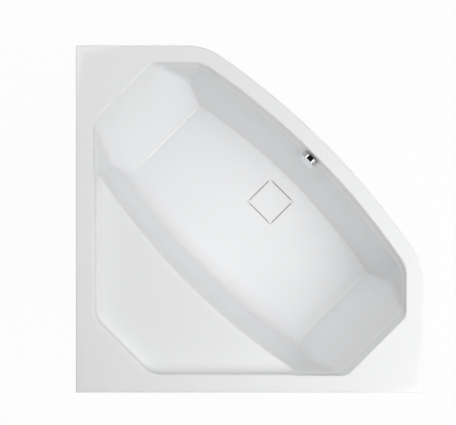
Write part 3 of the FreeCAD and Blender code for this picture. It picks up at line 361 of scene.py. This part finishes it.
def basin_sides(x, y, z, grown):
    """Below zero inside the walls that the basin and the seat share."""
    down = rim_level - z
    side = np.abs(x)
    front_wall = np.hypot(x, y - front_centre) - (front_radius - rim_at_front - front_lean * down)
    return_wall = (side + y - 2 * corner_half) / math.sqrt(2) + rim_at_wall + draft * down
    room_wall = (side - y) / math.sqrt(2) + rim_at_wall + draft * down
    end_wall = side - basin_half + end_lean * down
    corner = round_max(front_wall * upright(front_lean) - grown, return_wall * upright(draft) - grown,
                       blend_radii["front corner"] + grown, corner_facing)
    walls = round_max(corner, room_wall * upright(draft) - grown, blend_radii["end"] + grown)
    return round_max(walls, end_wall * upright(end_lean) - grown, blend_radii["end"] + grown, end_facing)


def bath_space(x, y, z, grown):
    """Below zero in the air that the bath holds and above its rim, grown into the sheet."""
    down = rim_level - z
    seat_level = rim_level - seat_depth
    sides = basin_sides(x, y, z, grown)
    back_wall = np.hypot(x, y - back_wall_top - back_wall_radius) - back_wall_radius
    back_wall = (back_wall + back_lean * (seat_level - z)) * upright(back_lean) - grown
    trough = flow_max(back_wall, basin_floor - grown - z, blend_radii["back foot"])
    basin = round_max(sides, trough, blend_radii["floor edge"] + grown)
    seat_wall = (seat_start + draft * down - y) * upright(draft) - grown
    seat_walls = round_max(sides, seat_wall, blend_radii["seat corner"] + grown, seat_facing)
    seat = round_max(seat_walls, seat_level - grown - z, blend_radii["seat edge"] + grown)
    hollow = round_min(basin, seat, max(blend_radii["seat roll"] - grown, least_roll))
    return round_min(hollow, rim_level - grown - z, max(blend_radii["rim roll"] - grown, least_roll))


def outline_space(x, y, inset):
    """Below zero inside the bath's outline, moved in by an inset."""
    side = np.abs(x)
    front = np.hypot(x, y - front_centre) - front_radius
    back = (side + y - 2 * corner_half) / math.sqrt(2)
    room = (side - y) / math.sqrt(2)
    return np.maximum(round_max(front, back, outline_corner, corner_facing), room) + inset


def recess_space(x, y, grown):
    """Below zero inside the drain recess, seen in plan."""
    radius = recess_corner + grown
    flat = recess_half + grown - radius
    wide, long = np.abs(x) - flat, np.abs(y - drain_y) - flat
    inside = np.minimum(np.maximum(wide, long), 0)
    return np.hypot(np.maximum(wide, 0), np.maximum(long, 0)) + inside - radius


def root(space, start, end, steps=30):
    """Where a space ends, for each pair of starting and ending distances."""
    for _ in range(steps):
        middle = (start + end) / 2
        inside = space(middle) < 0
        start = np.where(inside, middle, start)
        end = np.where(inside, end, middle)
    return (start + end) / 2


def spoke_angles():
    """The spokes around the drain, closer together where the outline or the walls turn a corner."""
    corners = [(0, 0), (corner_half, corner_half), (basin_half, basin_half + rim_at_wall * math.sqrt(2)),
               (basin_half, 2 * corner_half - rim_at_wall * math.sqrt(2) - basin_half),
               (recess_half, drain_y + recess_half), (recess_half, drain_y - recess_half)]
    corner_angles = [math.degrees(math.atan2(y - drain_y, x)) for x, y in corners]
    angles = list(np.arange(-90, 90 + last_too, coarse_step))
    for at in corner_angles:
        angles += list(at + np.arange(-fine_half, fine_half + last_too, fine_step))
    angles = np.unique(np.round([a for a in angles if -90 <= a <= 90], 4))
    apart = [angles[0]] + [a for a, b in zip(angles[1:], angles) if a - b > closest_spokes]

    def snapped(angle):
        """An angle, or a corner's own where that is close by."""
        nearest = min(corner_angles, key=lambda at: abs(at - angle))
        return nearest if abs(nearest - angle) < spoke_snap else angle

    right = np.radians(sorted({snapped(angle) for angle in apart}))
    left = np.pi - right[::-1]
    return np.concatenate([right, left[1:-1]])


spokes = spoke_angles()
across, along = np.cos(spokes), np.sin(spokes)


def ring_at(reach, level):
    """A ring of points at a reach from the drain's centre line along each spoke."""
    level = np.broadcast_to(level, reach.shape)
    return np.stack([reach * across, drain_y + reach * along, level], axis=-1)


def plan_reach(space):
    """How far each spoke runs before it leaves a space, seen in plan."""
    return root(lambda r: space(r * across, drain_y + r * along), np.zeros_like(spokes),
                np.full_like(spokes, search_reach))


def wall_profile(grown, samples, count):
    """Rings from the recess edge up the walls and over the rim roll, closer where they curve."""
    eye = rim_level + eye_height
    inner = plan_reach(lambda x, y: recess_space(x, y, grown)) + (recess_edge if grown == 0 else 0)
    level = rim_level - grown

    def hollow_below(x, y):
        """Below zero where the bath is hollow just below the rim."""
        return np.where(bath_space(x, y, level - just_below, grown) < -just_inside, -1.0, 1.0)

    outer = plan_reach(hollow_below) + blend_radii["rim roll"]
    start = np.arctan2(inner, eye - basin_floor + grown)
    end = np.arctan2(outer, eye - level)
    lean = start[:, None] + (end - start)[:, None] * np.linspace(0, 1, samples)
    over, drop = np.sin(lean), np.cos(lean)

    def along_ray(t):
        """The bath's space at a distance from the eye along each ray."""
        return bath_space(t * over * across[:, None], drain_y + t * over * along[:, None],
                          eye - t * drop, grown)

    t = root(along_ray, np.zeros_like(lean), (eye - basin_floor + past_floor) / drop)
    reach, height = t * over, eye - t * drop
    run, rise = np.diff(reach, axis=1), np.diff(height, axis=1)
    heading = np.unwrap(np.arctan2(rise, run), axis=1)
    turn = np.abs(np.diff(heading, axis=1))
    turn = (np.pad(turn, ((0, 0), (1, 0))) + np.pad(turn, ((0, 0), (0, 1)))) / 2
    weight = np.hypot(run, rise) + turn_weight * turn
    steps = np.concatenate([np.zeros((len(spokes), 1)), np.cumsum(weight, axis=1)], axis=1)
    rings = []
    for share in np.linspace(0, 1, count):
        wanted = share * steps[:, -1]
        r = np.array([np.interp(w, k, v) for w, k, v in zip(wanted, steps, reach)])
        h = np.array([np.interp(w, k, v) for w, k, v in zip(wanted, steps, height)])
        rings.append(ring_at(r, h))
    return rings


def well(grown, samples, count):
    """The rings of one skin from the waste hole, through the recess and up to the flat rim."""
    recess = plan_reach(lambda x, y: recess_space(x, y, grown))
    low, high = recess_floor - grown, basin_floor - grown
    rings = [ring_at(waste_hole + (recess - waste_hole) * share, low) for share in recess_shares]
    if grown == 0:
        rings += [ring_at(recess, high - recess_edge),
                  ring_at(recess + recess_edge * edge_share, high - recess_edge * edge_share)]
    return rings + wall_profile(grown, samples, count)


def reach_of(ring):
    """How far each point of a ring lies from the drain's centre line."""
    return np.hypot(ring[:, 0], ring[:, 1] - drain_y)


def skin(grown, samples, count):
    """All rings of one skin of the sheet, from the waste hole out to the foot of the lip."""
    rings = well(grown, samples, count)
    last = reach_of(rings[-1])
    level = rim_level - grown
    edge = max(lip_edge - grown, 0)
    flat = plan_reach(lambda x, y: outline_space(x, y, grown + edge))
    rings += [ring_at(last + (flat - last) * share, level) for share in rim_shares]
    for step in range(1, lip_steps + 1) if edge else ():
        angle = math.radians(90 / lip_steps * step)
        inset = edge * (1 - math.sin(angle))
        out = plan_reach(lambda x, y: outline_space(x, y, grown + inset))
        rings.append(ring_at(out, level - edge * (1 - math.cos(angle))))
    foot = plan_reach(lambda x, y: outline_space(x, y, grown))
    rings.append(ring_at(foot, rim_level - lip_height))
    return rings


def in_room(points):
    """Points of the bath's own frame, put in the room's frame."""
    x, y, z = np.asarray(points).T
    half = math.sqrt(0.5)
    return np.stack([-wall_half + (y - x) * half, wall_half - (y + x) * half, z], axis=-1)


def ring_mesh(name, rings, body):
    """A closed piece from rings in order, each joined to the next and the last to the first."""
    count = len(rings[0])
    points = in_room(np.concatenate(rings))
    here = np.arange(count)
    after = (here + 1) % count
    faces = []
    for ring in range(len(rings)):
        a, b = ring * count, ((ring + 1) % len(rings)) * count
        faces.append(np.stack([a + here, b + here, b + after, a + after], axis=-1))
    piece = mesh_piece(name, [tuple(point) for point in points],
                       [tuple(face) for face in np.concatenate(faces).tolist()], body)
    smooth_sharp(piece, sheet_crease)
    return piece


def smooth_sharp(piece, degrees):
    """Smooth shading, with edges kept crisp where the surface turns by more than an angle."""
    mesh = piece.data
    mesh.polygons.foreach_set("use_smooth", [True] * len(mesh.polygons))
    mesh.set_sharp_from_angle(angle=math.radians(degrees))


upper_face = skin(0.0, upper_samples, upper_rings)
under_face = skin(sheet_thickness, under_samples, under_rings)
shell = ring_mesh("bath_skin", upper_face + under_face[::-1], "bath")
shell.data.materials.append(acrylic)
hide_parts("bath_shell")

# The backing: chopped glass fibre and resin, sprayed on the underside of the sheet and rolled down by
# hand. It is rough and cream-coloured, with strands in it and a second coat over board and battens.
fibre_colours = ((0.84, 0.82, 0.70, 1.0), (0.52, 0.48, 0.35, 1.0))
fibre_strand = (0.93, 0.92, 0.86, 1.0)
strand_lays = (((0.3, 0.5, 0.2), 16), ((1.2, 0.1, 1.1), 18), ((0.2, 1.4, 2.1), 20))
strand_fineness, strand_sharpness, strand_share = 340, 7.0, 0.32
lay_thickness = 0.004
lay_gap = 0.0002
lay_samples, near_rings, far_rings = 200, 56, 94
batten_inset = 0.064
lump_height, lump_size = 0.0016, 0.075
ripple_height, ripple_size = 0.0007, 0.028
second_coat, coat_fade = 0.0015, 0.02
coat_low = (0.176, 0.235)
coat_high = (0.545, 0.600)

streaks, given, result = make_group(
    "streaks",
    [("Stretch", "NodeSocketVector", (60, 4, 60)), ("Turn", "NodeSocketVector", (0, 0, 0)),
     ("Light", colour, (1, 1, 1, 1)), ("Dark", colour, (0.8, 0.8, 0.8, 1)),
     ("Sharpness", number, 0.5), ("Smooth", number, 0.5), ("Rough", number, 0.8)],
    [("Color", colour), ("Roughness", number), ("Height", number)])
place = add_node(streaks, "ShaderNodeTexCoord")
turned = add_node(streaks, "ShaderNodeVectorRotate", rotation_type="EULER_XYZ")
drawn = add_node(streaks, "ShaderNodeVectorMath", operation="MULTIPLY")
lines = add_node(streaks, "ShaderNodeTexNoise", Scale=1.0, Detail=5.0, Roughness=0.6)
spread = add_node(streaks, "ShaderNodeMath", operation="MULTIPLY_ADD", use_clamp=True)
low = add_node(streaks, "ShaderNodeMath", operation="MULTIPLY_ADD")
low.inputs[1].default_value, low.inputs[2].default_value = -0.5, 0.5
tint = add_node(streaks, "ShaderNodeMix", data_type="RGBA")
gloss = add_node(streaks, "ShaderNodeMix", data_type="FLOAT")
streaks.links.new(place.outputs["Object"], turned.inputs["Vector"])
streaks.links.new(given.outputs["Turn"], turned.inputs["Rotation"])
streaks.links.new(turned.outputs["Vector"], drawn.inputs[0])
streaks.links.new(given.outputs["Stretch"], drawn.inputs[1])
streaks.links.new(drawn.outputs["Vector"], lines.inputs["Vector"])
streaks.links.new(lines.outputs["Fac"], spread.inputs[0])
streaks.links.new(given.outputs["Sharpness"], spread.inputs[1])
streaks.links.new(given.outputs["Sharpness"], low.inputs[0])
streaks.links.new(low.outputs[0], spread.inputs[2])
streaks.links.new(spread.outputs[0], tint.inputs[0])
streaks.links.new(given.outputs["Dark"], tint.inputs[6])
streaks.links.new(given.outputs["Light"], tint.inputs[7])
streaks.links.new(spread.outputs[0], gloss.inputs[0])
streaks.links.new(given.outputs["Smooth"], gloss.inputs[2])
streaks.links.new(given.outputs["Rough"], gloss.inputs[3])
streaks.links.new(tint.outputs[2], result.inputs["Color"])
streaks.links.new(gloss.outputs[0], result.inputs["Roughness"])
streaks.links.new(spread.outputs[0], result.inputs["Height"])

fibre = use_group("glass_fibre_lay", mottle, bump=(0.6, 0.0008), Scale=9.0, Light=fibre_colours[0],
                  Dark=fibre_colours[1], Smooth=0.38, Rough=0.62, Grain_Scale=120.0)
tree = fibre.node_tree
shader = tree.nodes["Principled BSDF"]
under = next(node for node in tree.nodes if node.type == "GROUP").outputs["Color"]
for turn, lengthwise in strand_lays:
    strand = tree.nodes.new("ShaderNodeGroup")
    strand.node_tree = streaks
    strand.inputs["Turn"].default_value = turn
    strand.inputs["Stretch"].default_value = (strand_fineness, lengthwise, strand_fineness)
    strand.inputs["Sharpness"].default_value = strand_sharpness
    faint = add_node(tree, "ShaderNodeMath", operation="MULTIPLY")
    faint.inputs[1].default_value = strand_share
    over = add_node(tree, "ShaderNodeMix", data_type="RGBA")
    over.inputs[7].default_value = fibre_strand
    tree.links.new(strand.outputs["Height"], faint.inputs[0])
    tree.links.new(faint.outputs[0], over.inputs[0])
    tree.links.new(under, over.inputs[6])
    under = over.outputs[2]
tree.links.new(under, shader.inputs["Base Color"])


def lay_skin(grown, count):
    """The rings of one face of the backing, out to the battens."""
    rings = well(grown, lay_samples, count)
    last = reach_of(rings[-1])
    end = plan_reach(lambda x, y: outline_space(x, y, batten_inset))
    return rings + [ring_at(last + (end - last) * share, rim_level - grown) for share in (0.5, 1)]


near_face = lay_skin(sheet_thickness + lay_gap, near_rings)
far_face = lay_skin(sheet_thickness + lay_thickness, far_rings)
backing = ring_mesh("glass_fibre_skin", near_face + far_face[::-1], "bath")
underside = backing.data.vertices[len(near_face) * len(spokes):]
outward = [vertex.normal.copy() for vertex in underside]
for vertex, normal in zip(underside, outward):
    spot = vertex.co.copy()
    over_board = (coat_low[1] - spot.z) / coat_fade
    over_battens = (spot.z - coat_high[0]) / coat_fade
    coat = max(min(1.0, over_board), min(1.0, over_battens), 0.0)
    lumps = lump_height * noise.noise(spot / lump_size) + ripple_height * noise.noise(spot / ripple_size)
    if coat_low[0] < spot.z < coat_high[1]:
        vertex.co = spot + normal * (lumps + second_coat * coat)
backing.data.materials.append(fibre)
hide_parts("glass_fibre_backing")

# The boards: chipboard bonded under the floor and under the seat, raw and unpainted, with flat chips
# of several tones.
chip_colours = ((0.74, 0.58, 0.38, 1.0), (0.42, 0.29, 0.17, 1.0))

flakes, given, result = make_group(
    "flakes",
    [("Scale", number, 150.0), ("Light", colour, (1, 1, 1, 1)), ("Dark", colour, (0.5, 0.5, 0.5, 1)),
     ("Smooth", number, 0.4), ("Rough", number, 0.6), ("Grain Scale", number, 500.0)],
    [("Color", colour), ("Roughness", number), ("Height", number)])
place = add_node(flakes, "ShaderNodeTexCoord")
cells = add_node(flakes, "ShaderNodeTexVoronoi")
grain = add_node(flakes, "ShaderNodeTexNoise", Detail=3.0, Roughness=0.6)
tone = add_node(flakes, "ShaderNodeSeparateColor")
tint = add_node(flakes, "ShaderNodeMix", data_type="RGBA")
gloss = add_node(flakes, "ShaderNodeMix", data_type="FLOAT")
raised = add_node(flakes, "ShaderNodeMath", operation="ADD")
flakes.links.new(place.outputs["Object"], cells.inputs["Vector"])
flakes.links.new(place.outputs["Object"], grain.inputs["Vector"])
flakes.links.new(given.outputs["Scale"], cells.inputs["Scale"])
flakes.links.new(given.outputs["Grain Scale"], grain.inputs["Scale"])
flakes.links.new(cells.outputs["Color"], tone.inputs[0])
flakes.links.new(tone.outputs[0], tint.inputs[0])
flakes.links.new(given.outputs["Dark"], tint.inputs[6])
flakes.links.new(given.outputs["Light"], tint.inputs[7])
flakes.links.new(tone.outputs[1], gloss.inputs[0])
flakes.links.new(given.outputs["Smooth"], gloss.inputs[2])
flakes.links.new(given.outputs["Rough"], gloss.inputs[3])
flakes.links.new(tone.outputs[2], raised.inputs[0])
flakes.links.new(grain.outputs["Fac"], raised.inputs[1])
flakes.links.new(tint.outputs[2], result.inputs["Color"])
flakes.links.new(gloss.outputs[0], result.inputs["Roughness"])
flakes.links.new(raised.outputs[0], result.inputs["Height"])

chip = use_group("raw_chipboard", flakes, bump=(0.5, 0.0004), Scale=170.0, Light=chip_colours[0],
                 Dark=chip_colours[1], Smooth=0.7, Rough=0.9, Grain_Scale=420.0)
dress(chip, "base_board", "seat_board")

# The battens: planed softwood strips bonded inside the lip, straight along the walls and returns
# and bent along the front. The grain runs the way that each strip does, in level layers on the two
# returns, which stand at right angles to each other.
pine_colours = ((0.82, 0.65, 0.42, 1.0), (0.58, 0.39, 0.21, 1.0))
along_x, along_y, in_layers = (4, 130, 130), (130, 4, 130), (7, 7, 130)
for batten, stretch, turn in (("wall_batten_right", along_y, 0), ("wall_batten_left", along_x, 0),
                              ("return_battens", in_layers, 0), ("front_battens", along_x, -45)):
    pine = use_group("planed_softwood_" + batten, streaks, bump=(0.35, 0.0003), Stretch=stretch,
                     Turn=(0, 0, math.radians(turn)), Light=pine_colours[0], Dark=pine_colours[1],
                     Sharpness=2.4, Smooth=0.6, Rough=0.78)
    dress(pine, batten)

# The steel: three rolled channels, the welded seat post and the wall brackets, all galvanised, with
# the spangle that the zinc bath leaves.
zinc_colours = ((0.68, 0.69, 0.70, 1.0), (0.46, 0.47, 0.49, 1.0))
galvanised = use_group("galvanised_steel", flakes, bump=(0.06, 0.0001), metallic=0.9, Scale=85.0,
                       Light=zinc_colours[0], Dark=zinc_colours[1], Smooth=0.30, Rough=0.50,
                       Grain_Scale=600.0)
dress(galvanised, "cradle_rail_right", "cradle_rail_left", "corner_rail", "seat_post", "wall_brackets")

# The fasteners: zinc-plated screws, welded nuts, ferrules and lock nuts, and the studs of the feet,
# which are threaded all the way so that the rails can be set level on them.
plate_colours = ((0.72, 0.71, 0.66, 1.0), (0.52, 0.52, 0.49, 1.0))
thread_pitch, thread_depth = 0.00175, 0.0011
thread_root, thread_slope = 1.15, 1.6
thread_sides, thread_steps = 18, 5
thread_lead_in = 0.0012
thread_crease = 40
plated = use_group("zinc_plate", flakes, bump=(0.05, 0.0001), metallic=0.9, Scale=260.0,
                   Light=plate_colours[0], Dark=plate_colours[1], Smooth=0.24, Rough=0.38,
                   Grain_Scale=900.0)
feet = ("front_left", "front_right", "back_left", "back_right", "corner")
dress(plated, "rail_screws", "seat_post_screws", "captive_nuts", "bracket_screws", "rosette_screws",
      "cable_ferrules")


def threaded_rod(name, low, high, body):
    """A rod that fills a box, with a thread cut into it and a chamfer at both ends."""
    centre = (low + high) / 2
    radius = (high.x - low.x) / 2
    levels = np.linspace(low.z, high.z, round((high.z - low.z) / thread_pitch * thread_steps) + 1)
    turns = np.arange(thread_sides) / thread_sides
    phase = (levels[:, None] / thread_pitch - turns[None, :]) % 1.0
    groove = thread_depth * np.clip(thread_root - np.abs(phase * 2 - 1) * thread_slope, 0, 1)
    ends = np.minimum(levels - low.z, high.z - levels)
    groove = np.maximum(groove, np.clip(thread_lead_in - ends, 0, thread_lead_in)[:, None])
    reach = radius - groove
    x = centre.x + reach * np.cos(math.tau * turns)
    y = centre.y + reach * np.sin(math.tau * turns)
    z = np.broadcast_to(levels[:, None], x.shape)
    points = [tuple(point) for point in np.stack([x, y, z], axis=-1).reshape(-1, 3)]
    faces = []
    for ring in range(len(levels) - 1):
        for side in range(thread_sides):
            a, b = ring * thread_sides + side, ring * thread_sides + (side + 1) % thread_sides
            faces.append((a, b, b + thread_sides, a + thread_sides))
    last = (len(levels) - 1) * thread_sides
    faces += [tuple(range(thread_sides))[::-1], tuple(range(last, last + thread_sides))]
    rod = mesh_piece(name, points, faces, body)
    smooth_sharp(rod, thread_crease)
    return rod


for foot in feet:
    dress(plated, "foot_lock_nut_" + foot)
    stud = threaded_rod("threaded_stud_" + foot, *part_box("foot_stud_" + foot), "foot_" + foot)
    stud.data.materials.append(plated)
    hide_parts("foot_stud_" + foot)

# The small black mouldings: the foot pads, the rail caps and the cable's drum, sheath and clips. They
# are of black plastic with a finely grained surface.
black_colours = ((0.055, 0.055, 0.06, 1.0), (0.035, 0.035, 0.04, 1.0))
black = use_group("black_moulding", mottle, bump=(0.25, 0.0002), Scale=60.0, Light=black_colours[0],
                  Dark=black_colours[1], Smooth=0.42, Rough=0.58, Grain_Scale=1500.0)
dress(black, "rail_caps", "cable_drum", "cable_clips", "control_cable")
for foot in feet:
    dress(black, "foot_pad_" + foot)

# The seals and gaskets, and the pads under the drain cover: soft black rubber with a dusty bloom, held
# between the pieces that they seal or keep apart.
rubber_colours = ((0.06, 0.06, 0.06, 1.0), (0.03, 0.03, 0.03, 1.0))
rubber = use_group("soft_rubber", mottle, bump=(0.2, 0.0002), Scale=90.0, Light=rubber_colours[0],
                   Dark=rubber_colours[1], Smooth=0.7, Rough=0.88, Grain_Scale=1200.0)
dress(rubber, "cover_pads", "waste_upper_seal", "waste_lower_gasket", "plug_seal", "trap_seal",
      "overflow_gasket", "overflow_front_seal")

# The bright pieces: the overflow knob, the flange of the waste and the plug, brass that is nickelled
# and chromed.
chrome_colours = ((0.76, 0.77, 0.78, 1.0), (0.72, 0.73, 0.74, 1.0))
chrome = use_group("polished_chrome", mottle, bump=(0.01, 0.0001), metallic=1.0, Scale=40.0,
                   Light=chrome_colours[0], Dark=chrome_colours[1], Smooth=0.03, Rough=0.07,
                   Grain_Scale=800.0)
dress(chrome, "overflow_knob", "waste_flange", "drain_plug")

# The waste water side: the waste body, trap, outlet, overflow body, rosette, pipe, nuts and lever,
# injection-moulded in white polypropylene.
plastic_colours = ((0.82, 0.82, 0.80, 1.0), (0.76, 0.76, 0.73, 1.0))
plastic = use_group("white_moulding", mottle, bump=(0.15, 0.0002), Scale=50.0, Light=plastic_colours[0],
                    Dark=plastic_colours[1], Smooth=0.38, Rough=0.52, Grain_Scale=1400.0)
dress(plastic, "waste_body", "trap_nut", "trap_bowl", "outlet_pipe", "outlet_nut", "overflow_body",
      "overflow_rosette", "overflow_pipe", "pipe_nuts", "lift_lever")

# The spindle that carries the knob's turn through the front wall to the drum: brass, turned on a
# lathe and left unplated.
brass_colours = ((0.76, 0.60, 0.30, 1.0), (0.66, 0.50, 0.22, 1.0))
brass = use_group("turned_brass", mottle, bump=(0.1, 0.0001), metallic=1.0, Scale=80.0,
                  Light=brass_colours[0], Dark=brass_colours[1], Smooth=0.22, Rough=0.38,
                  Grain_Scale=1000.0)
dress(brass, "knob_spindle")
